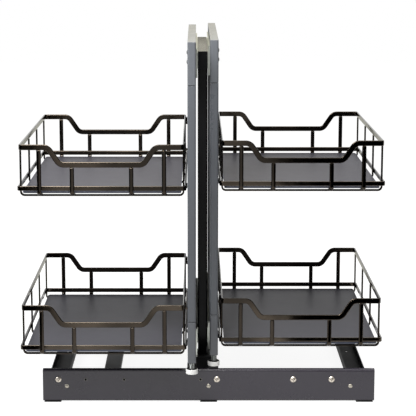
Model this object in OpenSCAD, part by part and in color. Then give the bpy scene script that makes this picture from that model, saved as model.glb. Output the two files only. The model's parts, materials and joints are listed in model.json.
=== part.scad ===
// Twin pull-out cabinet basket unit.
// Two upright frames run on top and bottom ball slides either side of a fixed centre frame,
// and each carries an upper and a lower flat-wire basket hooked to its outer side.
// +X is to the right, +Z up, and the user stands at -Y. The floor is z = 0.
// The left frame is drawn part pulled out, and the right one closed.

/* [Base] */
// Width of the front and rear rails
base_w = 510; // [480:1:560]
// Depth from the front rail's face to the rear rail's back
base_d = 440; // [430:1:480]
// Sideways offset of the base from the centre frame
base_offset = 9; // [0:0.5:12]
// Height of the front and rear rails
rail_h = 50.5; // [46:0.5:60]
// Depth of the rails' top and bottom lips
rail_lip = 8; // [6:0.5:12]
// Sheet thickness of the rails
rail_t = 2; // [1.5:0.25:2.5]
// Outer bend radius of the rails
rail_bend = 3.5; // [3:0.25:5]
// Width of the floor bars
bar_w = 30; // [26:1:34]
// Height of the floor bars' side walls
bar_h = 14; // [12:0.5:16]
// Sheet thickness of the floor bars
bar_t = 1.5; // [1:0.25:2]
// Inset of each bar's tongue under the rails, from the bar's side
bar_tongue_inset = 2; // [1:0.5:4]
// Height of the bars' upright end tabs
tab_h = 44; // [38:1:45]
// Reach of a side bar's end tab past the bar, towards the centre
tab_reach = 17; // [15:1:24]
// Width of the black guide bar
guide_w = 26; // [20:1:30]
// Height of the black guide bar
guide_h = 10; // [6:1:14]
// Distance of the guide bar from the base's centre
guide_x = 156; // [140:1:170]

/* [Base fasteners] */
// Distance of the row's nearest holes from the base's centre
near_hole_x = 12.5; // [10:0.5:13]
// Distance of the row's middle holes from the base's centre
mid_hole_x = 130; // [100:1:150]
// Distance of the row's far holes from the rail's ends
far_hole_inset = 66; // [60:1:80]
// Distance of the row's end holes from the rail's ends
end_hole_inset = 24; // [20:1:28]
// Height of the upper row of holes
row_z = 36; // [32:0.5:36.5]
// Diameter of the upper row of holes
row_hole_d = 4.2; // [3.5:0.1:5]
// Diameter of a rail screw's head
screw_head_d = 9.5; // [8:0.1:11]
// Height of a rail screw's head
screw_head_h = 2.4; // [2:0.1:3]
// Length of a rail screw under its head
screw_len = 9; // [7:0.5:12]
// Width of the cross slots in a rail screw's head
slot_w = 1.2; // [1:0.1:1.5]
// Length of the cross slots
slot_len = 5.2; // [4:0.1:6]
// Depth of the cross slots, from the top of the head
slot_depth = 1.4; // [1:0.1:1.6]
// Distance of the outer rivets from the side bars
rivet_reach = 7; // [6:0.5:10]
// Height of the rivets
rivet_z = 25.5; // [20:0.5:28]
// Diameter of a rivet's head
rivet_head_d = 6.4; // [5:0.1:7.5]
// Height of a rivet's head
rivet_head_h = 1.2; // [0.8:0.1:1.6]
// Diameter of a rivet's body
rivet_d = 4; // [3:0.1:4.5]
// Diameter of the floor-fixing holes
floor_hole_d = 5.5; // [4:0.1:6.5]
// Distance between the front and rear floor-fixing holes
floor_hole_pitch = 224; // [160:1:256]
// Distance of the rear floor-fixing holes from the base's front face
floor_hole_y = 278; // [270:1:300]

/* [Centre frame] */
// Thickness of the centre frame
column_w = 15; // [12:0.5:16]
// Depth of each centre post
column_post_d = 25; // [20:1:30]
// Set-back of the centre frame from the base's front face
column_setback = 96; // [90:1:110]
// Height of the centre frame's top
column_top = 532.5; // [520:0.5:540]
// Height of the centre frame's rails
column_rail_h = 28; // [24:1:32]
// Wall of the centre frame's tubes
column_wall = 1.5; // [1:0.25:2]
// Corner radius of the centre posts, outside
column_corner = 2.4; // [2.2:0.1:3]
// Width of the feet under the centre posts
foot_w = 40; // [36:1:42]
// Depth of each foot
foot_d = 45; // [40:1:50]
// Height of the feet's top above the floor
foot_top = 48; // [44:1:50]

/* [Side frames] */
// Gap between the centre frame and each side frame
side_gap = 3; // [2.8:0.1:4]
// Thickness of the side frames
frame_w = 12.6; // [12.2:0.1:14]
// Depth of the side frames
frame_d = 440; // [430:1:445]
// Height of the side frames' top
frame_top = 556.5; // [552:0.5:565]
// Height of the side frames' underside
frame_bottom = 74; // [72:0.5:76]
// Depth of each side-frame post
post_d = 22; // [20:0.5:24]
// Wall of the side-frame posts
post_wall = 1.2; // [1:0.1:1.6]
// Corner radius of the posts and connectors, outside
post_corner = 2.4; // [2:0.1:3]
// Height of the groove between a connector and a post
seam_h = 1.2; // [0.8:0.1:1.6]
// Height of the corner connectors and of the rails between them
corner_h = 63.3; // [62:0.1:65]
// Length of the plugs that join connectors and posts
plug_len = 12; // [8:1:20]
// Thickness of a side-frame rail's top flange
flange_t = 2; // [1.5:0.1:2.5]
// Diameter of a frame screw's head
frame_screw_head_d = 6; // [5:0.1:7]
// Height of a frame screw's head
frame_screw_head_h = 1.2; // [0.8:0.1:1.2]
// Diameter of a frame screw's shank
frame_screw_d = 3.6; // [3:0.1:4]
// Length of a frame screw's shank
frame_screw_len = 2.4; // [2:0.1:2.8]
// Distance from a frame's top or bottom to its nearer screws
frame_screw_end = 15.5; // [12:0.5:18]
// Distance between two frame screws
frame_screw_pitch = 14; // [10:0.5:18]
// Distance that the left frame is drawn pulled out
pull_out = 44; // [0:1:60]

/* [Glides] */
// Diameter of the glide discs
glide_d = 18.2; // [16:0.1:19]
// Height of the glide discs
glide_h = 7; // [5:0.5:8]
// Diameter of the recess in a glide's top
glide_recess_d = 12.4; // [10:0.1:13]
// Depth of the recess in a glide's top
glide_recess = 3; // [2:0.5:4]
// Diameter of the levelling studs
stud_d = 8; // [6:0.5:8]
// Engagement of a stud in its connector
stud_grip = 20; // [14:1:24]
// Width of the landing pads under the glides
pad_w = 14.2; // [12:0.1:15]
// Depth of the landing pads
pad_d = 26; // [22:1:30]
// Thickness of the landing pads above the front rail
pad_t = 3.6; // [3:0.1:4]
// Height of the landing pads' body below the lip
pad_body_h = 11; // [8:0.5:11.5]

/* [Slides] */
// Length of the slides
slide_len = 350; // [340:1:350]
// Height of an outer slide member
slide_h = 45; // [44:0.5:46]
// Thickness of a slide
slide_t = 12.7; // [12.2:0.1:12.9]
// Sheet thickness of the slide members
slide_sheet = 1.2; // [1:0.1:1.3]
// Set-back of the slides from a side frame's front
slide_setback = 85; // [80:1:86]
// Height of the top slides' centre
top_slide_z = 519; // [516:0.5:520]
// Height of the bottom slides' centre
bottom_slide_z = 82.5; // [80:0.5:90]
// Thickness of an outer member's front stop
stop_t = 2; // [1.5:0.1:3]
// Chamfer of an outer member's front stop
stop_chamfer = 3; // [2:0.5:5]
// Distance of an outer member's lips from the centre frame
outer_lip_u = 1; // [0.6:0.1:1.4]
// Set-back of the middle member's and the cages' lips, each behind the next
lip_step = 1; // [0.6:0.1:1.4]
// Diameter of the slide balls
ball_d = 3.2; // [3:0.1:3.3]
// Distance between slide balls
ball_pitch = 24; // [16:1:30]
// Thickness of a ball cage
cage_t = 0.6; // [0.5:0.05:0.7]
// Length of a ball cage
cage_len = 120; // [80:1:130]
// Set-back of the ball cages from the slides' front, when closed
cage_setback = 101; // [96:1:104]

/* [Baskets] */
// Width of a basket over its top rim
rim_w = 244; // [230:1:250]
// Depth of a basket over its top rim
rim_d = 375; // [360:1:378]
// Height of a basket
basket_h = 79; // [74:1:86]
// Height of the rim's strip
rim_strip = 8.4; // [7:0.1:10]
// Thickness of the rim's strip and of the ribs
wire_t = 2.6; // [2:0.1:3]
// Corner radius of the rims, outside
rim_corner = 5; // [4:0.5:8]
// Drop of the front and back scoops
scoop_drop = 26; // [22:1:30]
// Straight length from each side to the scoop
scoop_start = 36.5; // [30:0.5:37]
// Slope of the scoop's sides in degrees
scoop_angle = 56; // [48:1:60]
// Bend radius of the scoop, on the strip's centre line
scoop_r = 12; // [9:0.5:12.5]
// Height of the lower rim's strip
low_strip = 7.2; // [6:0.1:8]
// Thickness of the lower rim's strip
low_strip_t = 3; // [2:0.1:3.2]
// Height of the lower rim's underside in the basket
low_strip_z = 9.5; // [9:0.1:12]
// Width of the ribs
rib_w = 6.6; // [5:0.1:8]
// Outer bend radius of the ribs
rib_bend = 7; // [6:0.5:8]
// Distance of the inner lengthwise ribs from the basket's centre
inner_rib_x = 43.7; // [38:0.1:48]
// Distance of the outer lengthwise ribs from the basket's centre
outer_rib_x = 92.1; // [90:0.1:98]
// Distance of the first and last crosswise ribs from the basket's ends
end_rib_y = 15; // [14:0.5:18]
// Number of crosswise ribs
cross_ribs = 4; // [3:1:5]
// Gap between a basket's rim and its side frame
basket_gap = 4.6; // [4.4:0.1:6]
// Height of the lower baskets' underside
lower_basket_z = 85; // [80:0.5:88]
// Height of the upper baskets' underside
upper_basket_z = 327.5; // [260:0.5:420]
// Thickness of the basket boards
board_t = 3; // [2:0.5:4]
// Gap between a board and the crosswise ribs on each side
board_side_gap = 2.4; // [1:0.1:8]
// Gap between a board's back edge and the basket's back
board_back_gap = 16; // [10:0.5:30]
// Corner radius of the basket boards
board_corner = 4; // [2:0.5:8]
// Set-back of a board's front edge from the basket's front
board_setback = 9; // [8:0.5:11]

/* [Hooks] */
// Width of the hooks and of the buffers
hook_w = 12; // [8:0.5:16]
// Thickness of the hooks
hook_t = 2.5; // [2:0.1:3]
// Height of a hook's plate above its bearing face
hook_plate_h = 11.5; // [10:0.1:12]
// Length of a hook's lip
hook_lip = 8; // [6:0.5:9]
// Height of the hooks' bearing face in the basket
hook_z = 66.5; // [66:0.1:67]
// Distance of the front hooks from the basket's front
front_hook_y = 30; // [29:1:45]
// Distance of the rear hooks from the basket's front
rear_hook_y = 344; // [330:1:346]
// Thickness of the hanger rails
hanger_t = 5; // [4:0.5:5]
// Height of the hook rails
hook_rail_h = 10; // [8:0.5:10]
// Inset of the hook rails from a side frame's outer face
hook_rail_inset = 1.3; // [0.5:0.1:2]
// Height of the rest rail behind the upper basket's buffers
rest_rail_h = 16; // [10:1:20]

/* [Clearances] */
// Clearance between pieces that pass each other
pass_gap = 0.3; // [0.2:0.05:0.4]
// Clearance between a hook's lip and its hanger rail
hook_gap = 0.5; // [0.3:0.1:0.8]
// Clearance of plugs and screws in their holes, on each side
plug_gap = 0.1; // [0.05:0.05:0.15]
// Clearance of a stud's thread in its connector, on each side
stud_gap = 0.05; // [0.02:0.01:0.09]
// Clearance between the members of a slide
slide_gap = 0.4; // [0.3:0.05:0.45]
// Clearance between an outer member's front stop and the members behind it
stop_gap = 1.3; // [0.5:0.1:2]

/* [Hidden] */
LEFT = -1;
RIGHT = 1;
SIDES = [LEFT, RIGHT];
LEVELS = ["upper", "lower"];
ENDS = ["top", "bottom"];
BASE_NODES = ["front_rail", "rear_rail", "left_bar", "centre_bar", "right_bar", "guide_bar",
    "base_screws", "base_rivets", "glide_pads"];
CENTRE_NODES = ["centre_posts", "centre_rails", "centre_feet"];
FRAME_PARTS = ["front_post", "rear_post", "top_rail", "bottom_rail", "corner_connectors",
    "hanger_rails", "frame_screws", "glide_stud", "glide_disc"];
SLIDE_PARTS = ["slide_middles", "inner_ball_cages", "outer_ball_cages"];
MEMBERS = ["slide_inner", "slide_outer"];
BASKET_PARTS = ["top_rim", "lower_rim", "ribs", "board"];
$fn = 64;

// Shares of a frame's travel that the parts inside its slides make
MIDDLE_SHARE = 0.5;
INNER_CAGE_SHARE = 0.25;
OUTER_CAGE_SHARE = 0.75;

function side_name(side) = side == LEFT ? "left" : "right";
function basket_name(level, side, part) = str(level, "_", side_name(side), "_", part);

// How far past a face a cutting body runs
cut = 1;

// Places along Y: the whole unit is centred, with the left frame pulled out
front_y = -(base_d + pull_out + rivet_head_h) / 2;
base_y = front_y + pull_out;
base_back_y = base_y + base_d;
column_y = base_y + column_setback;
column_back_y = base_back_y - rail_lip - bar_t - pass_gap;
rear_post_y = frame_d - post_d;
closed_slide_y = base_y + slide_setback;
function frame_y(side) = side == LEFT ? front_y : base_y;
function pulled(side) = base_y - frame_y(side);

// Places along X, from the centre frame outwards
column_side = column_w / 2;
frame_in = column_side + side_gap;
frame_out = frame_in + frame_w;
rail_web_in = column_side + slide_t;
frame_mid = (frame_in + frame_out) / 2;
basket_x = frame_out + basket_gap + rim_w / 2;

// Base heights and places
rail_z = bar_t;
rail_top = rail_z + rail_h;
side_bar_x = (base_w - bar_w) / 2;
guide_len = base_d - 2 * rail_lip;
far_hole_x = base_w / 2 - far_hole_inset;
end_hole_x = base_w / 2 - end_hole_inset;
screw_x = [-end_hole_x, near_hole_x, mid_hole_x, far_hole_x];
open_hole_x = [-far_hole_x, -mid_hole_x, -near_hole_x];
rivet_x = side_bar_x - bar_w / 2 - rivet_reach;
rivets_x = [-rivet_x, 0, rivet_x];
inner_bend = rail_bend - rail_t;
foot_low_z = bar_h + pass_gap;

// Glide heights
pad_top = rail_top + pad_t;
glide_z = pad_top + pass_gap;
recess_z = glide_z + glide_h - glide_recess;
stud_top = frame_bottom + stud_grip;

// Slide section, from the outer member inwards; heights are half heights
ball_gap = pass_gap;
outer_in = slide_h / 2 - slide_sheet;
middle_out = outer_in - ball_d - 2 * ball_gap;
middle_in = middle_out - slide_sheet;
inner_out = middle_in - ball_d - 2 * ball_gap;
outer_ball_z = outer_in - ball_gap - ball_d / 2;
inner_ball_z = middle_in - ball_gap - ball_d / 2;
outer_web_u = slide_t - slide_sheet;
outer_cage_u = outer_web_u - slide_gap - cage_t;
middle_web_u = outer_cage_u - slide_gap - slide_sheet;
inner_cage_u = middle_web_u - slide_gap - cage_t;
inner_flange_u = inner_cage_u - slide_gap;
middle_lip_u = outer_lip_u + lip_step;
cage_lip_u = middle_lip_u + lip_step;
member_lag = stop_t + stop_gap;

// Basket heights
low_edge_z = basket_h - scoop_drop - rim_strip;
high_edge_z = basket_h - rim_strip;
board_z = 2 * wire_t;
board_w = rim_w - 2 * (wire_t + board_side_gap);
board_d = rim_d - board_setback - board_back_gap;
scoop_high = basket_h - rim_strip / 2;
slope_len = (scoop_drop - 2 * scoop_r * (1 - cos(scoop_angle))) / sin(scoop_angle);
scoop_run = 2 * scoop_r * sin(scoop_angle) + slope_len * cos(scoop_angle);
low_half = rim_w / 2 - scoop_start - scoop_run;
BEND_STEPS = 12;
rib_span = rim_d - 2 * end_rib_y;

function basket_z(level) = level == "upper" ? upper_basket_z : lower_basket_z;
function slide_z(end) = end == "top" ? top_slide_z : bottom_slide_z;
function corner_z(end) = end == "top" ? frame_top - corner_h : frame_bottom;

anthracite = [0.36, 0.38, 0.41];
base_grey = [0.29, 0.29, 0.31];
black = [0.08, 0.08, 0.08];
nickel = [0.20, 0.17, 0.15];
board_grey = [0.40, 0.39, 0.41];
zinc = [0.72, 0.72, 0.68];
bright = [0.85, 0.83, 0.80];
white = [0.93, 0.93, 0.91];

// ---------- shapes that repeat ----------

// Flat rectangle with its lowest corner at the origin and round corners
module round_rect(w, d, r) {
    translate([r, 0]) square([w - 2 * r, d]);
    translate([0, r]) square([w, d - 2 * r]);
    for (x = [r, w - r]) for (y = [r, d - r]) translate([x, y]) circle(r);
}

// Rectangle that is round at its first two corners only, those at x = 0
module round_front(w, d, r) {
    translate([r, 0]) square([w - r, d]);
    translate([0, r]) square([w, d - 2 * r]);
    for (y = [r, d - r]) translate([r, y]) circle(r);
}

// Upright tube with round corners
module tube(w, d, h, wall, r) {
    linear_extrude(h) difference() {
        round_rect(w, d, r);
        translate([wall, wall]) round_rect(w - 2 * wall, d - 2 * wall, r - wall);
    }
}

// Mirrors what is drawn on the right over to a side
module on_side(side) {
    mirror([side == LEFT ? 1 : 0, 0, 0]) children();
}

// Extrudes a flat outline, drawn in x and z, along +Y
module along_y(len) {
    translate([0, len, 0]) rotate([90, 0, 0]) linear_extrude(len) children();
}

// Extrudes a flat outline, drawn in y and z, along +X
module along_x(len) {
    rotate([90, 0, 90]) linear_extrude(len) children();
}

// Round bar along +Y from the origin
module rod_y(d, len) {
    translate([0, len, 0]) rotate([90, 0, 0]) cylinder(d = d, h = len);
}

// Round bar along +X from the origin
module rod_x(d, len) {
    rotate([0, 90, 0]) cylinder(d = d, h = len);
}

// Low round head whose flat face is at the origin and whose dome faces -Y
module dome_head(d, h) {
    ball_r = (pow(d / 2, 2) + pow(h, 2)) / (2 * h);
    intersection() {
        translate([0, ball_r - h, 0]) sphere(ball_r);
        translate([0, -h, 0]) rod_y(d, h);
    }
}

// ---------- base ----------

module rail_section() {
    difference() {
        round_front(rail_lip, rail_h, rail_bend);
        translate([rail_t, rail_t]) round_front(rail_lip, rail_h - 2 * rail_t, inner_bend);
    }
}

module rail_body() {
    translate([-base_w / 2, 0, rail_z]) along_x(base_w) rail_section();
}

// Drills for the rivets and the upper row, from the base's centre
module rail_holes(y) {
    len = rail_t + bar_t + 2 * cut;
    translate([0, y - cut, 0]) {
        for (x = rivets_x) translate([x, 0, rivet_z]) rod_y(rivet_d + 2 * plug_gap, len);
        for (x = concat(screw_x, open_hole_x)) translate([x, 0, row_z]) rod_y(row_hole_d, len);
    }
}

module front_rail() {
    color(base_grey) translate([base_offset, base_y, 0]) difference() {
        rail_body();
        rail_holes(0);
    }
}

module rear_rail() {
    color(base_grey) translate([base_offset, base_back_y, 0]) mirror([0, 1, 0]) difference() {
        rail_body();
        rail_holes(0);
    }
}

// Floor bar: a shallow channel, open at the top, whose tongues run under both rails
module floor_bar(x, toward, drilled) {
    reach = toward == 0 ? 0 : tab_reach;
    tongue_w = bar_w - 2 * bar_tongue_inset;
    wall_y = rail_lip + bar_t;
    wall_len = base_d - 2 * wall_y;
    color(base_grey) translate([base_offset + x, base_y, 0]) difference() {
        union() {
            translate([-tongue_w / 2, 0, 0]) cube([tongue_w, base_d, bar_t]);
            translate([-bar_w / 2, wall_y, 0]) difference() {
                cube([bar_w, wall_len, bar_h]);
                translate([bar_t, -cut, bar_t])
                    cube([bar_w - 2 * bar_t, wall_len + 2 * cut, bar_h]);
            }
            bar_end(x, toward, reach);
            translate([0, base_d, 0]) mirror([0, 1, 0]) bar_end(x, toward, reach);
        }
        if (drilled) for (y = [floor_hole_y, floor_hole_y - floor_hole_pitch])
            translate([0, y, -cut]) cylinder(d = floor_hole_d, h = bar_t + 2 * cut);
    }
}

// Step over the rail's lower lip, then the upright tab, drilled like the rail
module bar_end(x, toward, reach) {
    step_z = rail_z + rail_t;
    step_y = rail_t + inner_bend;
    step_t = inner_bend + bar_t;
    low_x = -bar_w / 2 - (toward < 0 ? reach : 0);
    difference() {
        union() {
            translate([-bar_w / 2, rail_lip, 0]) cube([bar_w, bar_t, step_z + step_t]);
            translate([-bar_w / 2, step_y, step_z]) cube([bar_w, rail_lip - step_y, step_t]);
            translate([low_x, rail_t, step_z + inner_bend])
                cube([bar_w + reach, bar_t, tab_h - step_z - inner_bend]);
        }
        translate([-x, 0, 0]) rail_holes(rail_t);
    }
}

module guide_bar() {
    color(black) translate([base_offset - guide_x - guide_w / 2, base_y + rail_lip, rail_z])
        difference() {
            cube([guide_w, guide_len, guide_h]);
            translate([bar_t, -cut, -cut])
                cube([guide_w - 2 * bar_t, guide_len + 2 * cut, guide_h - bar_t + cut]);
        }
}

module base_screws() {
    color(bright) for (x = screw_x)
        translate([base_offset + x, base_y, row_z]) difference() {
            union() {
                dome_head(screw_head_d, screw_head_h);
                rod_y(row_hole_d - 2 * plug_gap, screw_len);
            }
            for (turn = [0, 90]) rotate([0, turn, 0])
                translate([-slot_len / 2, -screw_head_h - cut, -slot_w / 2])
                    cube([slot_len, slot_depth + cut, slot_w]);
        }
}

module rivet() {
    dome_head(rivet_head_d, rivet_head_h);
    rod_y(rivet_d, rail_t + bar_t);
    translate([0, rail_t + bar_t, 0]) mirror([0, 1, 0]) dome_head(rivet_head_d, rivet_head_h);
}

module base_rivets() {
    color(bright) for (x = rivets_x) {
        translate([base_offset + x, base_y, rivet_z]) rivet();
        translate([base_offset + x, base_back_y, rivet_z]) mirror([0, 1, 0]) rivet();
    }
}

// Pads that the glides land on, each hooked over the front rail's top lip
module glide_pads() {
    lip_low = rail_top - rail_t;
    color(black) for (side = SIDES)
        translate([side * frame_mid - pad_w / 2, base_y, 0]) difference() {
            union() {
                translate([0, rail_bend, rail_top]) cube([pad_w, pad_d - rail_bend, pad_t]);
                translate([0, rail_bend, lip_low - pad_body_h])
                    cube([pad_w, pad_d - rail_bend, pad_body_h + rail_t]);
            }
            translate([-cut, 0, lip_low]) cube([pad_w + 2 * cut, rail_lip, rail_t]);
        }
}

// ---------- centre frame ----------

module centre_posts() {
    post_h = column_top - column_rail_h - foot_top;
    color(black) for (y = [column_y, column_back_y - column_post_d])
        translate([-column_side, y, foot_top])
            tube(column_w, column_post_d, post_h, column_wall, column_corner);
}

module centre_rail(y0, y1, z) {
    translate([-column_side, y0, z]) difference() {
        cube([column_w, y1 - y0, column_rail_h]);
        translate([column_wall, -cut, column_wall]) cube([column_w - 2 * column_wall,
            y1 - y0 + 2 * cut, column_rail_h - 2 * column_wall]);
    }
}

module end_cap(y, z) {
    translate([-column_side, y, z]) cube([column_w, column_wall, column_rail_h]);
}

module centre_rails() {
    top_z = column_top - column_rail_h;
    color(black) {
        centre_rail(column_y, column_back_y, top_z);
        end_cap(column_y, top_z);
        end_cap(column_back_y - column_wall, top_z);
        centre_rail(column_y + column_post_d, column_back_y - column_post_d,
            bottom_slide_z - column_rail_h / 2);
    }
}

// Foot under a centre post: its root sits in the centre bar's channel
module foot(y) {
    root_x = base_offset - bar_w / 2 + bar_t + pass_gap;
    translate([-foot_w / 2, y, foot_low_z]) cube([foot_w, foot_d, foot_top - foot_low_z]);
    translate([root_x, y, bar_t]) cube([foot_w / 2 - root_x, foot_d, foot_low_z - bar_t]);
}

module centre_feet() {
    color(black) {
        foot(column_y - (foot_d - column_post_d) / 2);
        foot(column_back_y - foot_d);
    }
}

// ---------- side frames, drawn on the right from the frame's own front ----------

module frame_place(side) {
    translate([0, frame_y(side), 0]) on_side(side) children();
}

module post(y) {
    z = frame_bottom + corner_h + seam_h;
    color(anthracite) translate([frame_in, y, z])
        tube(frame_w, post_d, frame_top - corner_h - seam_h - z, post_wall, post_corner);
}

// Connector at the frame's front, with the plug that fills the post's tube
module connector(end) {
    inset = post_wall + plug_gap;
    z = corner_z(end);
    translate([frame_out, 0, z]) rotate(90)
        linear_extrude(corner_h) round_front(post_d, frame_w, post_corner);
    translate([frame_in + inset, inset, end == "top" ? z - plug_len : z + corner_h])
        linear_extrude(plug_len)
            round_rect(frame_w - 2 * inset, post_d - 2 * inset, post_corner - inset);
}

module screw_places() {
    for (y = [post_d / 2, frame_d - post_d / 2])
        for (z = [frame_top - frame_screw_end, frame_bottom + corner_h - frame_screw_end])
            for (down = [0, frame_screw_pitch]) translate([frame_out, y, z - down]) children();
}

module corner_connectors() {
    color(anthracite) difference() {
        union() {
            for (end = ENDS) {
                connector(end);
                translate([0, frame_d, 0]) mirror([0, 1, 0]) connector(end);
            }
        }
        // the slides' outer members run past the rear connectors
        for (end = ENDS)
            translate([frame_in - cut, rear_post_y - cut, slide_z(end) - slide_h / 2 - pass_gap])
                cube([rail_web_in - frame_in + cut, post_d + 2 * cut, slide_h + 2 * pass_gap]);
        screw_places() translate([-frame_screw_len - plug_gap, 0, 0])
            rod_x(frame_screw_d + 2 * plug_gap, frame_screw_len + cut);
        translate([frame_mid, post_d / 2, frame_bottom - cut])
            cylinder(d = stud_d + 2 * stud_gap, h = stud_grip + plug_gap + cut);
    }
}

module frame_screws() {
    color(anthracite) screw_places() {
        rotate([0, 0, 90]) dome_head(frame_screw_head_d, frame_screw_head_h);
        translate([-frame_screw_len, 0, 0]) rod_x(frame_screw_d, frame_screw_len);
    }
}

// Rail between two connectors: a tall web on the outer side and a flange on top
module frame_rail(end) {
    len = frame_d - 2 * post_d;
    z = corner_z(end);
    color(anthracite) translate([0, post_d, 0]) {
        translate([rail_web_in, 0, z]) cube([frame_out - rail_web_in, len, corner_h]);
        translate([frame_in, 0, z + corner_h - flange_t])
            cube([frame_w, len, flange_t]);
    }
}

module hanger_rails() {
    len = frame_d - 2 * post_d;
    hook_rail_x = frame_out - hook_rail_inset - hanger_t;
    color(anthracite) translate([0, post_d, 0]) {
        for (level = LEVELS)
            translate([hook_rail_x, 0, basket_z(level) + hook_z - hook_rail_h])
                cube([hanger_t, len, hook_rail_h]);
        translate([frame_out - hanger_t, 0, upper_basket_z + low_strip_z + low_strip / 2
            - rest_rail_h / 2]) cube([hanger_t, len, rest_rail_h]);
    }
}

module glide_stud() {
    color(zinc) translate([frame_mid, post_d / 2, recess_z])
        cylinder(d = stud_d, h = stud_top - recess_z);
}

module glide_disc() {
    color(white) translate([frame_mid, post_d / 2, glide_z]) difference() {
        cylinder(d = glide_d, h = glide_h);
        translate([0, 0, glide_h - glide_recess]) cylinder(d = glide_recess_d, h = glide_recess + cut);
    }
}

// ---------- slides ----------

// Channel section with its web at u0 to u0 + t, its flanges reaching to u1, u away from the centre
module channel(u0, t, u1, half_h) {
    low_u = min(u0, u1);
    high_u = max(u0 + t, u1);
    web_inside = u1 < u0 ? low_u - cut : u0 + t;
    difference() {
        translate([low_u, -half_h]) square([high_u - low_u, 2 * half_h]);
        translate([web_inside, -half_h + t])
            square([(u1 < u0 ? u0 : high_u + cut) - web_inside, 2 * (half_h - t)]);
    }
}

module slide_place(side, end, moved) {
    translate([0, closed_slide_y - moved, slide_z(end)]) on_side(side)
        translate([column_side, 0, 0]) children();
}

module slide_inner(side, end) {
    color(zinc) slide_place(side, end, 0) translate([0, member_lag, 0])
        along_y(slide_len - member_lag) channel(0, slide_sheet, inner_flange_u, inner_out);
}

module slide_outer(side, end) {
    half = slide_h / 2;
    color(zinc) slide_place(side, end, pulled(side)) {
        along_y(slide_len) channel(outer_web_u, slide_sheet, outer_lip_u, half);
        along_y(stop_t) polygon([[outer_lip_u, half - stop_chamfer],
            [outer_lip_u + stop_chamfer, half], [slide_t, half], [slide_t, -half],
            [outer_lip_u + stop_chamfer, -half], [outer_lip_u, -half + stop_chamfer]]);
    }
}

module slide_middles(side) {
    color(zinc) for (end = ENDS) slide_place(side, end, pulled(side) * MIDDLE_SHARE)
        translate([0, member_lag, 0]) along_y(slide_len - member_lag)
            channel(middle_web_u, slide_sheet, middle_lip_u, middle_out);
}

// Ball cage: a thin channel with a row of balls in each flange
module ball_cage(web_u, ball_z) {
    ball_u = (middle_lip_u + web_u) / 2;
    balls = floor((cage_len - ball_d) / ball_pitch) + 1;
    first = (cage_len - (balls - 1) * ball_pitch) / 2;
    along_y(cage_len) channel(web_u, cage_t, cage_lip_u, ball_z + cage_t / 2);
    for (i = [0 : balls - 1]) for (s = SIDES)
        translate([ball_u, first + i * ball_pitch, s * ball_z]) sphere(d = ball_d);
}

module inner_ball_cages(side) {
    color(zinc) for (end = ENDS) slide_place(side, end, pulled(side) * INNER_CAGE_SHARE)
        translate([0, cage_setback, 0]) ball_cage(inner_cage_u, inner_ball_z);
}

module outer_ball_cages(side) {
    color(zinc) for (end = ENDS) slide_place(side, end, pulled(side) * OUTER_CAGE_SHARE)
        translate([0, cage_setback, 0]) ball_cage(outer_cage_u, outer_ball_z);
}

// ---------- baskets, drawn with the inner side at -x and the front at y = 0 ----------

module basket_place(side, level) {
    translate([side * basket_x, frame_y(side), basket_z(level)]) on_side(side) children();
}

// Points along an arc
function arc(c, r, a0, a1) =
    [for (i = [0 : BEND_STEPS]) let(a = a0 + (a1 - a0) * i / BEND_STEPS) c + r * [cos(a), sin(a)]];

function mirrored(points) = [for (i = [len(points) - 1 : -1 : 0]) [-points[i][0], points[i][1]]];
function reversed(points) = [for (i = [len(points) - 1 : -1 : 0]) points[i]];

// One edge of the scooped strip, from side to side, off its centre line by half its height
function scoop_edge(off) =
    let(
        half = concat([[-rim_w / 2, scoop_high + off]],
            arc([-rim_w / 2 + scoop_start, scoop_high - scoop_r], scoop_r + off, 90, 90 - scoop_angle),
            arc([-low_half, scoop_high - scoop_drop + scoop_r], scoop_r - off, 270 - scoop_angle, 270))
    ) concat(half, mirrored(half));

module scoop_outline() {
    polygon(concat(scoop_edge(rim_strip / 2), reversed(scoop_edge(-rim_strip / 2))));
}

module ring(w, d, t, r, h) {
    linear_extrude(h) difference() {
        round_rect(w, d, r);
        translate([t, t]) round_rect(w - 2 * t, d - 2 * t, r - t);
    }
}

module hook(y) {
    reach_x = frame_out - basket_x - hook_rail_inset - hanger_t - hook_gap - hook_t;
    translate([0, y - hook_w / 2, 0]) {
        translate([-rim_w / 2 - hook_t, 0, hook_z]) cube([hook_t, hook_w, hook_plate_h]);
        translate([reach_x, 0, hook_z]) cube([-rim_w / 2 - reach_x, hook_w, hook_t]);
        translate([reach_x, 0, hook_z - hook_lip]) cube([hook_t, hook_w, hook_lip]);
    }
}

module top_rim(side, level) {
    color(nickel) basket_place(side, level) {
        intersection() {
            translate([-rim_w / 2, 0, 0]) ring(rim_w, rim_d, wire_t, rim_corner, basket_h);
            along_y(rim_d) scoop_outline();
        }
        hook(front_hook_y);
        hook(rear_hook_y);
    }
}

module lower_rim(side, level) {
    w = rim_w + 2 * low_strip_t;
    buffer_x = frame_out + pass_gap - basket_x;
    color(nickel) basket_place(side, level) translate([0, 0, low_strip_z]) {
        translate([-w / 2, wire_t, 0])
            ring(w, rim_d - 2 * wire_t, low_strip_t, rim_corner, low_strip);
        for (y = [front_hook_y, rear_hook_y]) translate([buffer_x, y - hook_w / 2, 0])
            cube([-w / 2 - buffer_x, hook_w, low_strip]);
    }
}

// Flat bar bent into a U: the legs end at top_z and the bend's outside touches z = 0
module u_outline(w, top_z) {
    difference() {
        union() {
            translate([rib_bend, 0]) square([w - 2 * rib_bend, top_z]);
            translate([0, rib_bend]) square([w, top_z - rib_bend]);
            for (x = [rib_bend, w - rib_bend]) translate([x, rib_bend]) circle(rib_bend);
        }
        translate([rib_bend, wire_t]) square([w - 2 * rib_bend, top_z]);
        translate([wire_t, rib_bend]) square([w - 2 * wire_t, top_z]);
        for (x = [rib_bend, w - rib_bend]) translate([x, rib_bend]) circle(rib_bend - wire_t);
    }
}

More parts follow.
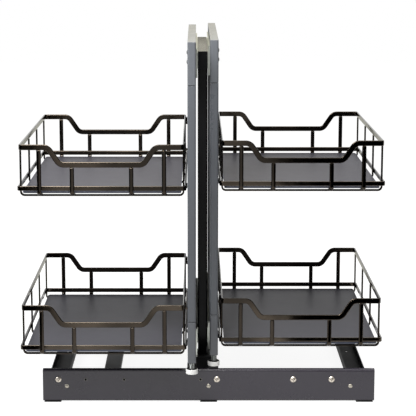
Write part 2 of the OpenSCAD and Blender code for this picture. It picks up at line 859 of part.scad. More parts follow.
module ribs(side, level) {
    color(nickel) basket_place(side, level) {
        for (i = [0 : cross_ribs - 1])
            translate([-rim_w / 2, end_rib_y + i * rib_span / (cross_ribs - 1) - rib_w / 2, 0])
                along_y(rib_w) u_outline(rim_w, high_edge_z);
        for (s = SIDES) {
            translate([s * inner_rib_x - rib_w / 2, 0, wire_t])
                along_x(rib_w) u_outline(rim_d, low_edge_z - wire_t);
            translate([s * outer_rib_x - rib_w / 2, 0, wire_t])
                along_x(rib_w) u_outline(rim_d, high_edge_z - wire_t);
        }
    }
}

module board(side, level) {
    color(board_grey) basket_place(side, level)
        translate([-board_w / 2, board_setback, board_z])
            linear_extrude(board_t) round_rect(board_w, board_d, board_corner);
}

// ---------- nodes ----------

front_rail();
rear_rail();
floor_bar(-side_bar_x, 1, true);  // left_bar
floor_bar(0, 0, false);  // centre_bar
floor_bar(side_bar_x, -1, true);  // right_bar
guide_bar();
base_screws();
base_rivets();
glide_pads();
centre_posts();
centre_rails();
centre_feet();

for (s = SIDES) {
    name = side_name(s);
    frame_place(s) post(0);
    frame_place(s) post(rear_post_y);
    frame_place(s) frame_rail("top");
    frame_place(s) frame_rail("bottom");
    frame_place(s) corner_connectors();
    frame_place(s) hanger_rails();
    frame_place(s) frame_screws();
    frame_place(s) glide_stud();
    frame_place(s) glide_disc();
    for (end = ENDS) {
        slide_inner(s, end);
        slide_outer(s, end);
    }
    slide_middles(s);
    inner_ball_cages(s);
    outer_ball_cages(s);
    for (l = LEVELS) {
        top_rim(s, l);
        lower_rim(s, l);
        ribs(s, l);
        board(s, l);
    }
}
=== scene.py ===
"""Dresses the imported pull-out basket unit: camera, finishes, rounded edges, details and studio.

Places are in metres in the frame's own coordinates. A length in millimetres is multiplied by MM.
"""

import json
import math

import bmesh
import bpy
from mathutils import Matrix, Vector


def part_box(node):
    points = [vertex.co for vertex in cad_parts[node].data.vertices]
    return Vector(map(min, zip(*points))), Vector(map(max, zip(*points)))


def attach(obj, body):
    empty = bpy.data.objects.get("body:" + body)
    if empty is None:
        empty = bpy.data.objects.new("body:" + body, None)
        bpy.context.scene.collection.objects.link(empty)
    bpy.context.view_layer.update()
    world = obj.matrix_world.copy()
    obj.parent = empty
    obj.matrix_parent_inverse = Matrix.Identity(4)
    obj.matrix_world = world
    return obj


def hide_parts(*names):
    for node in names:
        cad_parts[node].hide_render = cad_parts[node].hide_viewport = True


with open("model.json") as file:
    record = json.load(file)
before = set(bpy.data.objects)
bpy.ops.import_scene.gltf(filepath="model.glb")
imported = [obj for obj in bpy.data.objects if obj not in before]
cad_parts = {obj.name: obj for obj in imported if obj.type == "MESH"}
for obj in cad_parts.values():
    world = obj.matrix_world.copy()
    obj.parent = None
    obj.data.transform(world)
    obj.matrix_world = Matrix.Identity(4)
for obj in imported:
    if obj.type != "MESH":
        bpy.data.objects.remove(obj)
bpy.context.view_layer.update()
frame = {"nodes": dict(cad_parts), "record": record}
nodes = frame["nodes"]

SIDES = ("left", "right")
LEVELS = ("upper", "lower")
SCENE = bpy.context.scene
MM = 0.001


# ---------- camera ----------

CAMERA_PLACE = (-0.0106, -2.4024, 0.7086)
CAMERA_TILT = 9.443  # degrees below level
CAMERA_LENS = 128.6
CAMERA_SENSOR = 36
CAMERA_SHIFT = (0.029, -0.06)
CAMERA_CLIP = (0.1, 50)


def make_camera():
    data = bpy.data.cameras.new("camera")
    data.sensor_width = CAMERA_SENSOR
    data.lens = CAMERA_LENS
    data.shift_x, data.shift_y = CAMERA_SHIFT
    data.clip_start, data.clip_end = CAMERA_CLIP
    camera = bpy.data.objects.new("camera", data)
    camera.location = CAMERA_PLACE
    camera.rotation_euler = (math.radians(90 - CAMERA_TILT), 0, 0)
    SCENE.collection.objects.link(camera)
    SCENE.camera = camera


make_camera()
SCENE.view_settings.view_transform = "Standard"


# ---------- node helpers ----------


class Graph:
    """A node tree with its output, and short calls for the nodes that the tree uses."""

    def __init__(self, tree, output):
        self.tree = tree
        self.tree.nodes.clear()
        self.out = self.add(output)

    def add(self, kind, **settings):
        node = self.tree.nodes.new(kind)
        for key, value in settings.items():
            setattr(node, key, value)
        return node

    def link(self, source, target):
        self.tree.links.new(source, target)

    def finish(self, shader):
        self.link(shader, self.out.inputs["Surface"])

    def coords(self, stretch):
        place = self.add("ShaderNodeTexCoord")
        mapping = self.add("ShaderNodeMapping")
        mapping.inputs["Scale"].default_value = stretch
        self.link(place.outputs["Object"], mapping.inputs["Vector"])
        return mapping.outputs["Vector"]

    def noise(self, vector, scale, detail, rough=0.55):
        node = self.add("ShaderNodeTexNoise")
        node.inputs["Scale"].default_value = scale
        node.inputs["Detail"].default_value = detail
        node.inputs["Roughness"].default_value = rough
        self.link(vector, node.inputs["Vector"])
        return node.outputs["Fac"]

    def spread(self, value, low, high, start=0.3, end=0.7):
        """Maps values from start to end on to low to high."""
        node = self.add("ShaderNodeMapRange")
        ends = {"From Min": start, "From Max": end, "To Min": low, "To Max": high}
        for name, number in ends.items():
            node.inputs[name].default_value = number
        self.link(value, node.inputs["Value"])
        return node.outputs["Result"]

    def mix(self, factor, low, high):
        """Mixes two colours, each of them a socket or an (r, g, b)."""
        node = self.add("ShaderNodeMix", data_type="RGBA")
        self.link(factor, node.inputs["Factor"])
        for socket, colour in ((node.inputs[6], low), (node.inputs[7], high)):
            if isinstance(colour, bpy.types.NodeSocket):
                self.link(colour, socket)
            else:
                socket.default_value = (*colour, 1)
        return node.outputs[2]

    def bump(self, height, distance, normal):
        node = self.add("ShaderNodeBump")
        node.inputs["Strength"].default_value = 1
        node.inputs["Distance"].default_value = distance
        self.link(height, node.inputs["Height"])
        if normal is not None:
            self.link(normal, node.inputs["Normal"])
        return node.outputs["Normal"]

    def seen_by(self, *rays):
        """Is 1 for the rays that Light Path names, and 0 for all the others."""
        path = self.add("ShaderNodeLightPath")
        seen = path.outputs[rays[0]]
        for ray in rays[1:]:
            either = self.add("ShaderNodeMath", operation="MAXIMUM")
            self.link(seen, either.inputs[0])
            self.link(path.outputs[ray], either.inputs[1])
            seen = either.outputs[0]
        return seen

    def light(self, kind, colour, strength):
        node = self.add(kind)
        node.inputs["Color"].default_value = (*colour, 1)
        node.inputs["Strength"].default_value = strength
        return node.outputs[0]

    def choose(self, factor, first, second):
        """Mixes two shaders."""
        node = self.add("ShaderNodeMixShader")
        for socket, source in zip(node.inputs, (factor, first, second)):
            self.link(source, socket)
        return node.outputs[0]


def new_material(name):
    material = bpy.data.materials.new(name)
    material.use_nodes = True
    return material, Graph(material.node_tree, "ShaderNodeOutputMaterial")


# ---------- finishes ----------

COAT_ROUGHNESS = 0.08
# Detail of the noises: how many octaves each has
MOTTLE_DETAIL, SPECK_DETAIL, PAINTED_REFLECTION_DETAIL, SMEAR_DETAIL = 4, 2, 1.5, 5
SPECK_SHARE = 0.5
# Painted reflection: the noise range over which the dark patches fade in
PAINTED_REFLECTION_RANGE = (0.42, 0.56)
WORN_RANGE = (0.51, 0.6)  # of pointiness
WORN_LIFT = 2.2
# Painted shade: hollows and recesses darkened by ambient occlusion
PAINTED_SHADE_RANGE = (0.45, 0.95)  # of ambient occlusion
PAINTED_SHADE_LEVEL = 0.12
SMEAR_SCALE = 3
SMEAR_ROUGH = 0.65
PAINTED_SHADE_SAMPLES, ROUND_SAMPLES = 8, 6


def scaled(colour, share):
    return tuple(min(1.0, c * share) for c in colour)


def layered_colour(graph, vector, speck, colour, vary, broad, painted_reflection, edge, painted_shade_reach):
    """Mottling, specks, dark patches of painted reflection, lighter edges and painted shade in
    recesses, in order.
    """
    mottle = graph.spread(graph.noise(vector, broad, MOTTLE_DETAIL), 0, 1)
    base = graph.mix(mottle, scaled(colour, 1 - vary), scaled(colour, 1 + vary))
    base = graph.mix(graph.spread(speck, 0, SPECK_SHARE), base, scaled(colour, 1 + 2 * vary))
    # Painted reflection: dark patches standing in for dark surroundings mirrored in the plating
    if painted_reflection:
        painted_reflection_colour, painted_reflection_scale = painted_reflection
        painted_reflection_patches = graph.noise(vector, painted_reflection_scale, PAINTED_REFLECTION_DETAIL)
        base = graph.mix(graph.spread(painted_reflection_patches, 0, 1, *PAINTED_REFLECTION_RANGE), base, painted_reflection_colour)
    if edge:
        pointed = graph.add("ShaderNodeNewGeometry").outputs["Pointiness"]
        worn = graph.spread(pointed, 0, edge, *WORN_RANGE)
        base = graph.mix(worn, base, scaled(colour, WORN_LIFT))
    # Painted shade: darkens hollows and recesses where ambient occlusion finds shade
    if painted_shade_reach:
        shade = graph.add("ShaderNodeAmbientOcclusion", samples=PAINTED_SHADE_SAMPLES,
                          only_local=True)
        shade.inputs["Distance"].default_value = painted_shade_reach
        painted_shade_mask = graph.spread(shade.outputs["AO"], 1, 0, *PAINTED_SHADE_RANGE)
        base = graph.mix(painted_shade_mask, base, scaled(colour, PAINTED_SHADE_LEVEL))
    return base


def surface(name, colour, rough, vary=0.06, rough_vary=0.04, metallic=0.0, broad=9, fine=700,
            grain=0.00002, stretch=(1, 1, 1), edge=0.0, coat=0.0, gloss=0.5, painted_reflection=None,
            painted_shade_reach=0.0, round_edge=0.0):
    """A procedural finish. Grain, the reach of the painted shade in recesses and round_edge are
    lengths in metres.
    """
    material, graph = new_material(name)
    shader = graph.add("ShaderNodeBsdfPrincipled")
    graph.finish(shader.outputs["BSDF"])
    shader.inputs["Metallic"].default_value = metallic
    shader.inputs["Specular IOR Level"].default_value = gloss
    if coat:
        shader.inputs["Coat Weight"].default_value = coat
        shader.inputs["Coat Roughness"].default_value = COAT_ROUGHNESS

    vector = graph.coords(stretch)
    speck = graph.noise(vector, fine, SPECK_DETAIL)
    base = layered_colour(graph, vector, speck, colour, vary, broad, painted_reflection, edge, painted_shade_reach)
    graph.link(base, shader.inputs["Base Color"])

    smear = graph.noise(vector, broad * SMEAR_SCALE, SMEAR_DETAIL, SMEAR_ROUGH)
    roughness = graph.spread(smear, rough - rough_vary, rough + rough_vary)
    graph.link(roughness, shader.inputs["Roughness"])

    rounded = None
    if round_edge:
        soft = graph.add("ShaderNodeBevel", samples=ROUND_SAMPLES)
        soft.inputs["Radius"].default_value = round_edge
        rounded = soft.outputs["Normal"]
    graph.link(graph.bump(speck, grain, rounded), shader.inputs["Normal"])
    return material


NICKEL_COLOUR = (0.050, 0.039, 0.028)
# Painted shade: the ribs take the nickel darkened by this share
RIB_PAINTED_SHADE = 0.62
# The nickel's dark patches are painted reflections of dark surroundings
NICKEL = dict(rough=0.1, vary=0.2, metallic=1.0, broad=22, fine=260, grain=0.000008, coat=0.25,
              painted_reflection=((0.020, 0.015, 0.010), 11))

FINISH_VALUES = {
    # Base and centre frame
    "base_steel": dict(colour=(0.023, 0.0195, 0.029), rough=0.26, fine=900, grain=0.00001, edge=0.1,
                       coat=0.2, gloss=0.45),
    "bar_steel": dict(colour=(0.040, 0.040, 0.040), rough=0.6, fine=900, grain=0.00003, gloss=0.08),
    "guide_plastic": dict(colour=(0.012, 0.012, 0.013), rough=0.5, fine=1200, gloss=0.25),
    "centre_paint": dict(colour=(0.004, 0.004, 0.0044), rough=0.24, fine=900, gloss=0.12),
    # Fasteners, most with painted shade darkening their recesses
    "bright_steel": dict(colour=(0.66, 0.60, 0.52), rough=0.36, metallic=1.0, fine=400,
                         grain=0.00001, painted_shade_reach=0.0016),
    "rivet_steel": dict(colour=(0.42, 0.39, 0.33), rough=0.4, metallic=0.7, fine=400, painted_shade_reach=0.002),
    "stud_steel": dict(colour=(0.62, 0.64, 0.62), rough=0.4, metallic=0.8, fine=600, painted_shade_reach=0.0008),
    "screw_black": dict(colour=(0.020, 0.020, 0.022), rough=0.3, fine=600, edge=0.3),
    "insert_steel": dict(colour=(0.12, 0.115, 0.11), rough=0.35, metallic=0.7, fine=600,
                         painted_shade_reach=0.0035),
    # Side frames, slides and glides; the glide has painted shade in its cup
    "frame_paint": dict(colour=(0.066, 0.071, 0.080), rough=0.3, fine=1100, grain=0.000008,
                        edge=0.2),
    "connector_plastic": dict(colour=(0.078, 0.083, 0.092), rough=0.32, fine=1500, grain=0.00001,
                              edge=0.15),
    "zinc_steel": dict(colour=(0.56, 0.58, 0.53), rough=0.3, vary=0.1, metallic=1.0, broad=30,
                       fine=500, stretch=(1, 0.06, 1)),
    "glide_plastic": dict(colour=(0.88, 0.88, 0.86), rough=0.4, vary=0.03, fine=900, painted_shade_reach=0.004),
    # Baskets: the flat bars take a darker copy of the nickel as painted shade for their rounder
    # section, and their shading is rounded across their whole width
    "black_nickel": dict(NICKEL, colour=NICKEL_COLOUR),
    "nickel_ribs_painted_shade": dict(NICKEL, colour=scaled(NICKEL_COLOUR, RIB_PAINTED_SHADE), round_edge=0.0022),
    "board_laminate": dict(colour=(0.029, 0.028, 0.038), rough=0.42, vary=0.03, rough_vary=0.01,
                           broad=14, fine=1400, grain=0.000001, gloss=0.19),
    "board_edging": dict(colour=(0.090, 0.105, 0.160), rough=0.35, vary=0.04, fine=1500),
}
FINISHES = {name: surface(name, **values) for name, values in FINISH_VALUES.items()}

SLOT_OF = {row["node"]: row["material_slot"] for row in frame["record"]["subparts"]}
FLOOR_BARS = ("left_bar", "centre_bar", "right_bar")


def finish_of(name):
    """A node takes its record slot's finish, apart from the ribs, which take a darker painted-shade
    copy of the nickel, and the floor bars.
    """
    if name.endswith("_ribs"):
        return "nickel_ribs_painted_shade"
    if name in FLOOR_BARS:
        return "bar_steel"
    return SLOT_OF[name]


# ---------- rounded edges on the CAD nodes ----------

EDGE_WIDTH = {  # in mm, by record slot
    "base_steel": 0.5,
    "guide_plastic": 0.5,
    "bright_steel": 0.15,
    "rivet_steel": 0.1,
    "centre_paint": 0.4,
    "frame_paint": 0.3,
    "connector_plastic": 0.5,
    "zinc_steel": 0.12,
    "glide_plastic": 0.5,
    "black_nickel": 1.2,
    "board_laminate": 0.35,
}
WELD_REACH = 0.01 * MM
FLAT_ANGLE = 0.5
ROUND_FROM_ANGLE = 40
ROUND_SEGMENTS = 3
FLAT_FACE_WEIGHT = 100


def soften(obj, width):
    """Welds the split corners, clears flat diagonals, then rounds the sharp edges."""
    weld = obj.modifiers.new("weld", "WELD")
    weld.merge_threshold = WELD_REACH
    flat = obj.modifiers.new("flat", "DECIMATE")
    flat.decimate_type = "DISSOLVE"
    flat.angle_limit = math.radians(FLAT_ANGLE)
    bevel = obj.modifiers.new("bevel", "BEVEL")
    bevel.width = width * MM
    bevel.segments = ROUND_SEGMENTS
    bevel.limit_method = "ANGLE"
    bevel.angle_limit = math.radians(ROUND_FROM_ANGLE)
    bevel.use_clamp_overlap = False
    normals = obj.modifiers.new("normals", "WEIGHTED_NORMAL")
    normals.mode = "FACE_AREA"
    normals.weight = FLAT_FACE_WEIGHT
    for polygon in obj.data.polygons:
        polygon.use_smooth = True


for name, obj in nodes.items():
    obj.data.materials.clear()
    obj.data.materials.append(FINISHES[finish_of(name)])
    soften(obj, EDGE_WIDTH[SLOT_OF[name]])


# ---------- mesh helpers for the detail pieces ----------

SAME_POINT = 0.002 * MM
SHARP_ANGLE = 38
AXIS = 0.05  # mm, the radius at which a turned shape ends beside its axis
FACE_FRONT = Matrix.Rotation(math.radians(90), 3, "X")
UPRIGHT = Matrix.Identity(3)


def add_piece(name, bm, finish, body, weld=True):
    """Turns a bmesh into a piece that rides on a body and takes the named finish."""
    if weld:
        bmesh.ops.remove_doubles(bm, verts=bm.verts, dist=SAME_POINT)
    mesh = to_mesh(name, bm)
    piece = bpy.data.objects.new(name, mesh)
    SCENE.collection.objects.link(piece)
    mesh.materials.append(FINISHES[finish])
    mesh.polygons.foreach_set("use_smooth", [True] * len(mesh.polygons))
    mesh.set_sharp_from_angle(angle=math.radians(SHARP_ANGLE))
    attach(piece, body)
    return piece


def to_mesh(name, bm):
    bmesh.ops.recalc_face_normals(bm, faces=bm.faces)
    mesh = bpy.data.meshes.new(name)
    bm.to_mesh(mesh)
    bm.free()
    return mesh


def circle(radius, steps):
    """Points of a circle about the origin, in the unit of its radius."""
    angles = [2 * math.pi * i / steps for i in range(steps)]
    return [(radius * math.cos(angle), radius * math.sin(angle)) for angle in angles]


def add_rings(bm, rings, capped=True):
    """Skins closed rings of points, given in metres, and caps the two ends."""
    rows = [[bm.verts.new(point) for point in ring] for ring in rings]
    for first, second in zip(rows, rows[1:]):
        for i in range(len(first)):
            j = (i + 1) % len(first)
            bm.faces.new((first[i], first[j], second[j], second[i]))
    if capped:
        bm.faces.new(rows[0])
        bm.faces.new(rows[-1])


def lathe(bm, profile, place, turn, steps=32, closed=False):
    """Turns (radius, height) pairs in mm about the local z axis. A closed profile makes a ring."""
    rings = []
    for radius, height in profile:
        ring = [place + turn @ (Vector((x, y, height)) * MM) for x, y in circle(radius, steps)]
        rings.append(ring)
    if closed:
        rings.append(rings[0])
    add_rings(bm, rings, capped=not closed)


# ---------- rivet nuts in the front rail's open holes ----------

INSERT_OFFSETS = (-12.5, -130.0, -189.0)  # mm, from the rail's middle
INSERT_HEIGHT = 34.5  # mm, above the rail's lower edge
INSERT_CREST, INSERT_ROOT, INSERT_MOUTH = 1.45, 1.72, 1.65
INSERT_PITCH, INSERT_TURNS, INSERT_RIDGE = 0.75, 8, 0.37
INSERT_BORE_DEPTH, INSERT_LEAD, INSERT_DEPTH = 6.4, 0.4, 7.2
INSERT_BARREL, INSERT_FLANGE = 2.05, 2.7
INSERT_LIP, INSERT_FLANGE_EDGE = 0.35, 0.22  # heights above the rail's face
INSERT_MOUTH_FLARE, INSERT_BACK_CHAMFER = 0.15, 0.2


def insert_profile():
    """Bore with thread ridges, mouth and flange, then the barrel and its closed back."""
    profile = [(AXIS, -INSERT_BORE_DEPTH), (INSERT_CREST, -INSERT_BORE_DEPTH)]
    for turn in range(INSERT_TURNS):
        height = INSERT_LEAD - INSERT_BORE_DEPTH + turn * INSERT_PITCH
        profile += [(INSERT_ROOT, height), (INSERT_CREST, height + INSERT_RIDGE)]
    mouth = [(INSERT_MOUTH, 0.1), (INSERT_MOUTH, 0.3),
             (INSERT_MOUTH + INSERT_MOUTH_FLARE, INSERT_LIP)]
    flange = [(INSERT_FLANGE - 0.2, INSERT_LIP), (INSERT_FLANGE, INSERT_FLANGE_EDGE),
              (INSERT_FLANGE, 0.0)]
    barrel = [(INSERT_BARREL, 0.0), (INSERT_BARREL, INSERT_BACK_CHAMFER - INSERT_DEPTH),
              (INSERT_BARREL - 0.15, -INSERT_DEPTH), (AXIS, -INSERT_DEPTH)]
    return profile + mouth + flange + barrel


def add_inserts():
    low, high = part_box("front_rail")
    middle = (low.x + high.x) / 2
    for number, offset in enumerate(INSERT_OFFSETS, 1):
        place = Vector((middle + offset * MM, low.y, low.z + INSERT_HEIGHT * MM))
        bm = bmesh.new()
        lathe(bm, insert_profile(), place, FACE_FRONT)
        add_piece("rail_insert_%d" % number, bm, "insert_steel", "base")


# ---------- threaded studs and their collars ----------

STUD_PITCH = 1.25 * MM
STUD_DEPTH = 0.62 * MM
STUD_STEPS = 30
STUD_LEVELS_PER_TURN = 6
STUD_CHAMFER, STUD_CHAMFER_SLOPE = 0.9 * MM, 0.8
COLLAR_BORE, COLLAR_WAIST, COLLAR_RIM = 4.0, 6.1, 8.3
COLLAR_SEAT, COLLAR_TOP = 3.02, 3.75  # heights above the stud's foot


def add_stud(side):
    """Levelling stud with a triangular thread and chamfered ends, in place of the plain one."""
    node = side + "_glide_stud"
    low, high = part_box(node)
    centre = (low + high) / 2
    radius, height = (high.x - low.x) / 2, high.z - low.z
    levels = round(height / STUD_PITCH * STUD_LEVELS_PER_TURN)
    rings = []
    for level in range(levels + 1):
        rise = height * level / levels
        chamfer = max(0.0, STUD_CHAMFER - min(rise, height - rise)) * STUD_CHAMFER_SLOPE
        ring = []
        for i, (x, y) in enumerate(circle(1, STUD_STEPS)):
            phase = (rise / STUD_PITCH - i / STUD_STEPS) % 1
            r = radius - STUD_DEPTH * abs(2 * phase - 1) - chamfer
            ring.append((centre.x + r * x, centre.y + r * y, low.z + rise))
        rings.append(ring)
    bm = bmesh.new()
    add_rings(bm, rings)
    piece = add_piece(side + "_threaded_stud", bm, "stud_steel", side + "_glide",
                      weld=False)
    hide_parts(node)
    add_collar(side, Vector((centre.x, centre.y, low.z)))


def add_collar(side, foot):
    """Black collar that fills the glide's cup and laps over its rim."""
    root = [(COLLAR_BORE, 0.05), (COLLAR_WAIST - 0.1, 0.05), (COLLAR_WAIST, 0.2),
            (COLLAR_WAIST, COLLAR_SEAT - 0.07), (COLLAR_WAIST + 0.2, COLLAR_SEAT)]
    lap = [(COLLAR_RIM - 0.2, COLLAR_SEAT), (COLLAR_RIM, COLLAR_SEAT + 0.13),
           (COLLAR_RIM, COLLAR_TOP - 0.25), (COLLAR_RIM - 0.3, COLLAR_TOP)]
    mouth = [(COLLAR_BORE + 0.6, COLLAR_TOP), (COLLAR_BORE, COLLAR_TOP - 0.25)]
    bm = bmesh.new()
    lathe(bm, root + lap + mouth, foot, UPRIGHT, closed=True)
    add_piece(side + "_stud_collar", bm, "guide_plastic", side + "_glide")


# ---------- cross-recessed frame screws ----------

SHANK_RADIUS, SHANK_LENGTH = 1.8, 2.4
HEAD_RADIUS, HEAD_RISE, HEAD_SKIRT = 3.0, 1.2, 0.25
HEAD_CHAMFER, DOME_END = 0.1, 0.12
HEAD_STEPS, DOME_ROWS, DOME_STEP = 40, 10, math.radians(9)
RECESS_ARM, RECESS_HALF, RECESS_FLOOR_ARM = 1.7, 0.34, 1.0
RECESS_ABOVE, RECESS_LIP, RECESS_FLOOR = 2.0, 1.1, 0.35
SCREW_PITCH = 14 * MM
SCREW_SPIN = 37  # degrees from one screw to the next


def head_blank():
    """Shank below z 0 and a domed head above it."""
    dome_rise = HEAD_RISE - HEAD_SKIRT
    dome = []
    for row in range(DOME_ROWS):
        angle = row * DOME_STEP
        dome.append((HEAD_RADIUS * math.cos(angle), HEAD_SKIRT + dome_rise * math.sin(angle)))
    shank = [(SHANK_RADIUS, -SHANK_LENGTH), (SHANK_RADIUS, 0)]
    seat = [(HEAD_RADIUS - HEAD_CHAMFER, 0), (HEAD_RADIUS, HEAD_CHAMFER)]
    bm = bmesh.new()
    lathe(bm, shank + seat + dome + [(DOME_END, HEAD_RISE)], Vector((0, 0, 0)), UPRIGHT,
          HEAD_STEPS)
    return to_mesh("head", bm)


def recess_cutter():
    """A cross-shaped post that narrows towards the recess's floor."""
    arm, half = RECESS_ARM, RECESS_HALF
    outline = [(arm, -half), (arm, half), (half, half),
               (half, arm), (-half, arm), (-half, half),
               (-arm, half), (-arm, -half), (-half, -half),
               (-half, -arm), (half, -arm), (half, -half)]
    levels = ((1.0, RECESS_ABOVE), (1.0, RECESS_LIP), (RECESS_FLOOR_ARM / RECESS_ARM, RECESS_FLOOR))
    bm = bmesh.new()
    add_rings(bm, [[(x * scale * MM, y * scale * MM, z * MM) for x, y in outline]
                   for scale, z in levels])
    return to_mesh("cutter", bm)


def cross_head():
    """The domed head with its cross recess cut by a boolean."""
    head, cutter = head_blank(), recess_cutter()
    blank = bpy.data.objects.new("blank", head)
    tool = bpy.data.objects.new("tool", cutter)
    for helper in (blank, tool):
        SCENE.collection.objects.link(helper)
    cut = blank.modifiers.new("cut", "BOOLEAN")
    cut.operation, cut.solver, cut.object = "DIFFERENCE", "EXACT", tool
    bpy.context.view_layer.update()
    graph = bpy.context.evaluated_depsgraph_get()
    result = bpy.data.meshes.new_from_object(blank.evaluated_get(graph))
    for helper, mesh in ((blank, head), (tool, cutter)):
        bpy.data.objects.remove(helper)
        bpy.data.meshes.remove(mesh)
    return result


def add_frame_screws(side, head):
    """Recessed heads at the eight places that the frame's node has them."""
    node = side + "_frame_screws"
    low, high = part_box(node)
    out = -1 if side == "left" else 1
    outer = low.x if side == "left" else high.x
    seat = outer - out * HEAD_RISE * MM
    radius = HEAD_RADIUS * MM
    rows = (low.y + radius, high.y - radius)
    bottom, top = low.z + radius, high.z - radius
    places = [(seat, y, z) for y in rows
              for z in (bottom, bottom + SCREW_PITCH, top - SCREW_PITCH, top)]
    face = Matrix.Rotation(math.radians(90 * out), 4, "Y")
    bm = bmesh.new()
    for number, place in enumerate(places, 1):
        spin = Matrix.Rotation(math.radians(SCREW_SPIN * number), 4, "Z")
        first = len(bm.verts)
        bm.from_mesh(head)
        bm.verts.ensure_lookup_table()
        matrix = Matrix.Translation(place) @ face @ spin
        bmesh.ops.transform(bm, matrix=matrix, verts=bm.verts[first:])
    piece = add_piece(side + "_recessed_screws", bm, "screw_black", side + "_frame")
    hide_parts(node)


# ---------- edge bands of the boards ----------

BOARD_CORNER = 4.0 * MM
BOARD_CORNER_STEPS = 6
# (how far out, how high) in mm, from the board's lower edge up to its middle
BAND_HALF = ((-0.1, 0.1), (0.2, 0.1), (0.38, 0.35), (0.45, 0.8))


def add_edge_band(side, level):
    """A thin bluish band glued round a board's edge, bulged a little."""
    low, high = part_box("%s_%s_board" % (level, side))
    thick = (high.z - low.z) / MM
    section = list(BAND_HALF) + [(out, thick - height) for out, height in reversed(BAND_HALF)]
    left, right = low.x + BOARD_CORNER, high.x - BOARD_CORNER
    front, back = low.y + BOARD_CORNER, high.y - BOARD_CORNER
    corners = ((right, back, 0), (left, back, 90), (left, front, 180), (right, front, 270))
    rings = []
    for x, y, start in corners:
        for step in range(BOARD_CORNER_STEPS + 1):
            angle = math.radians(start + 90 * step / BOARD_CORNER_STEPS)
            ring = []
            for out, height in section:
                reach = BOARD_CORNER + out * MM
                ring.append((x + reach * math.cos(angle), y + reach * math.sin(angle),
                             low.z + height * MM))
            rings.append(ring)
    rings.append(rings[0])
    bm = bmesh.new()
    add_rings(bm, rings, capped=False)
    basket = "%s_%s" % (level, side)
    add_piece(basket + "_edge_band", bm, "board_edging", basket + "_basket")


add_inserts()
screw_head = cross_head()
for side in SIDES:
    add_stud(side)
    add_frame_screws(side, screw_head)
    for level in LEVELS:
        add_edge_band(side, level)
bpy.data.meshes.remove(screw_head)


# ---------- studio: floor and world ----------

FLOOR_REACH, FLOOR_Z = 6, -0.3 * MM
FLOOR_COLOUR = (0.3, 0.3, 0.3)
FLOOR_GLOW = 0.91
WHITE = (1, 1, 1)
SKY_COLOUR, SKY_STRENGTH = (1.0, 0.99, 0.975), 0.36


def make_sheet(name, corners, material):
    """A flat object of one face."""
    mesh = bpy.data.meshes.new(name)
    mesh.from_pydata(corners, [], [range(len(corners))])
    mesh.materials.append(material)
    sheet = bpy.data.objects.new(name, mesh)
    SCENE.collection.objects.link(sheet)
    return sheet


def make_floor():
    """Takes shadows as a grey floor, and glows white for the camera and for glossy surfaces."""
    material, graph = new_material("floor")
    diffuse = graph.add("ShaderNodeBsdfDiffuse")
    diffuse.inputs["Color"].default_value = (*FLOOR_COLOUR, 1)
    glow = graph.choose(graph.seen_by("Is Camera Ray", "Is Glossy Ray"),
                        graph.light("ShaderNodeEmission", WHITE, 0),
                        graph.light("ShaderNodeEmission", WHITE, FLOOR_GLOW))
    both = graph.add("ShaderNodeAddShader")
    graph.link(diffuse.outputs[0], both.inputs[0])
    graph.link(glow, both.inputs[1])
    graph.finish(both.outputs[0])
    reach = FLOOR_REACH
    corners = [(-reach, -reach), (reach, -reach), (reach, reach), (-reach, reach)]
    floor = make_sheet("floor", [(x, y, FLOOR_Z) for x, y in corners], material)


def make_world():
    """Plain white where it is seen, and a soft sky where it lights."""
    world = bpy.data.worlds.new("studio")
    SCENE.world = world
    world.use_nodes = True
    graph = Graph(world.node_tree, "ShaderNodeOutputWorld")
    seen = graph.seen_by("Is Camera Ray", "Is Transmission Ray", "Is Glossy Ray")
    graph.finish(graph.choose(seen, graph.light("ShaderNodeBackground", SKY_COLOUR, SKY_STRENGTH),
                              graph.light("ShaderNodeBackground", WHITE, 1)))


# ---------- studio: lamps ----------

LAMPS = {
    "top": dict(place=(0, -0.25, 1.9), aim=(0, 0, 0.3), size=(1.5, 1.1), power=17,
                colour=(1, 0.975, 0.93)),
    "left": dict(place=(-1.25, -0.7, 1.05), aim=(0, -0.15, 0.5), size=(0.4, 0.9), power=11,
                 colour=(0.95, 0.98, 1)),
    "right": dict(place=(1.5, -1.25, 0.9), aim=(0, -0.1, 0.3), size=(0.35, 1.1), power=3.5),
    "front": dict(place=(-0.25, -0.62, 0.98), aim=(0, -0.2, 0.6), size=(0.45, 0.25), power=12.5),
}


def make_lamp(name, place, aim, size, power, colour=WHITE):
    data = bpy.data.lights.new(name, "AREA")
    data.shape = "RECTANGLE"
    data.size, data.size_y = size
    data.energy = power
    data.color = colour
    lamp = bpy.data.objects.new(name, data)
    lamp.location = place
    lamp.rotation_euler = (Vector(aim) - Vector(place)).to_track_quat("-Z", "Y").to_euler()
    lamp.visible_camera = False
    SCENE.collection.objects.link(lamp)


# ---------- studio: cards that show in reflections only ----------

BLACK = (0, 0, 0)
# Dark walls beside the camera's view, for the upright faces
WALL_NEAR_X = {"left": -0.465, "right": 0.24}
WALL_FAR_X = {"left": -2.6, "right": 2.6}
WALL_Y = (-2.45, 0.2)
WALL_Z = (-0.1, 1.6)
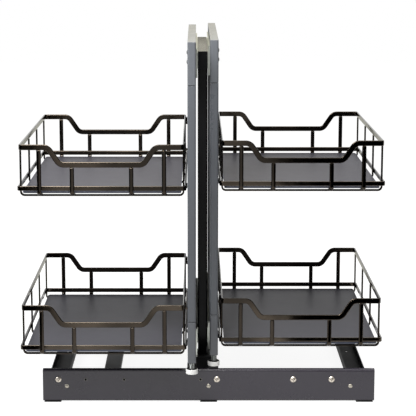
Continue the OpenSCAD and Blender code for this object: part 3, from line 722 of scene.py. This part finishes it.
# Dark floor beside the camera's view, for the faces that lean forward: inner edge and outer x
CARD_Z = 1 * MM
FLOOR_EDGE = {
    "left": ((-0.27, -0.45), (-0.285, -0.86), (-0.465, -2.23), (-0.5, -3.1)),
    "right": ((0.15, -0.5), (0.175, -0.85), (0.234, -2.22), (0.26, -3.1)),
}
FLOOR_FAR_X = {"left": -3, "right": 3}
# Dark card behind the gap between the frames
GAP_HALF, GAP_Y, GAP_TOP = 0.03, 0.45, 0.56
# Cream floor behind the unit, and a cream wall that only the frames' tops mirror
BACK_HALF, BACK_Y, BACK_COLOUR = 2.5, (0.5, 6), (0.58, 0.575, 0.51)
TOP_HALF, TOP_Y, TOP_Z = 0.3, 0.6, (0.575, 1.3)
TOP_COLOUR, TOP_GLOW = (1.0, 0.96, 0.80), 1.15


def make_card(name, corners, colour=BLACK, glow=0.0):
    material, graph = new_material(name)
    graph.finish(graph.light("ShaderNodeEmission", colour, glow))
    card = make_sheet(name, corners, material)
    for ray in ("camera", "diffuse", "transmission", "volume_scatter", "shadow"):
        setattr(card, "visible_" + ray, False)


def wall(start, end, low, high):
    """Corners of an upright card over the line from start to end."""
    return [(*start, low), (*end, low), (*end, high), (*start, high)]


def ground(points):
    """Corners of a card that lies just above the floor."""
    return [(x, y, CARD_Z) for x, y in points]


def make_cards():
    for side in SIDES:
        near, far = (WALL_NEAR_X[side], WALL_Y[0]), (WALL_FAR_X[side], WALL_Y[1])
        make_card("card_" + side, wall(near, far, *WALL_Z))
        edge, far_x = FLOOR_EDGE[side], FLOOR_FAR_X[side]
        make_card("floor_" + side, ground([*edge, (far_x, edge[-1][1]), (far_x, edge[0][1])]))
    make_card("middle_back", wall((-GAP_HALF, GAP_Y), (GAP_HALF, GAP_Y), 0, GAP_TOP))
    near_y, far_y = BACK_Y
    back = [(-BACK_HALF, near_y), (BACK_HALF, near_y), (BACK_HALF, far_y), (-BACK_HALF, far_y)]
    make_card("floor_back", ground(back), BACK_COLOUR, 1)
    make_card("top_back", wall((-TOP_HALF, TOP_Y), (TOP_HALF, TOP_Y), *TOP_Z), TOP_COLOUR, TOP_GLOW)


make_floor()
make_world()
for name, values in LAMPS.items():
    make_lamp(name, **values)
make_cards()
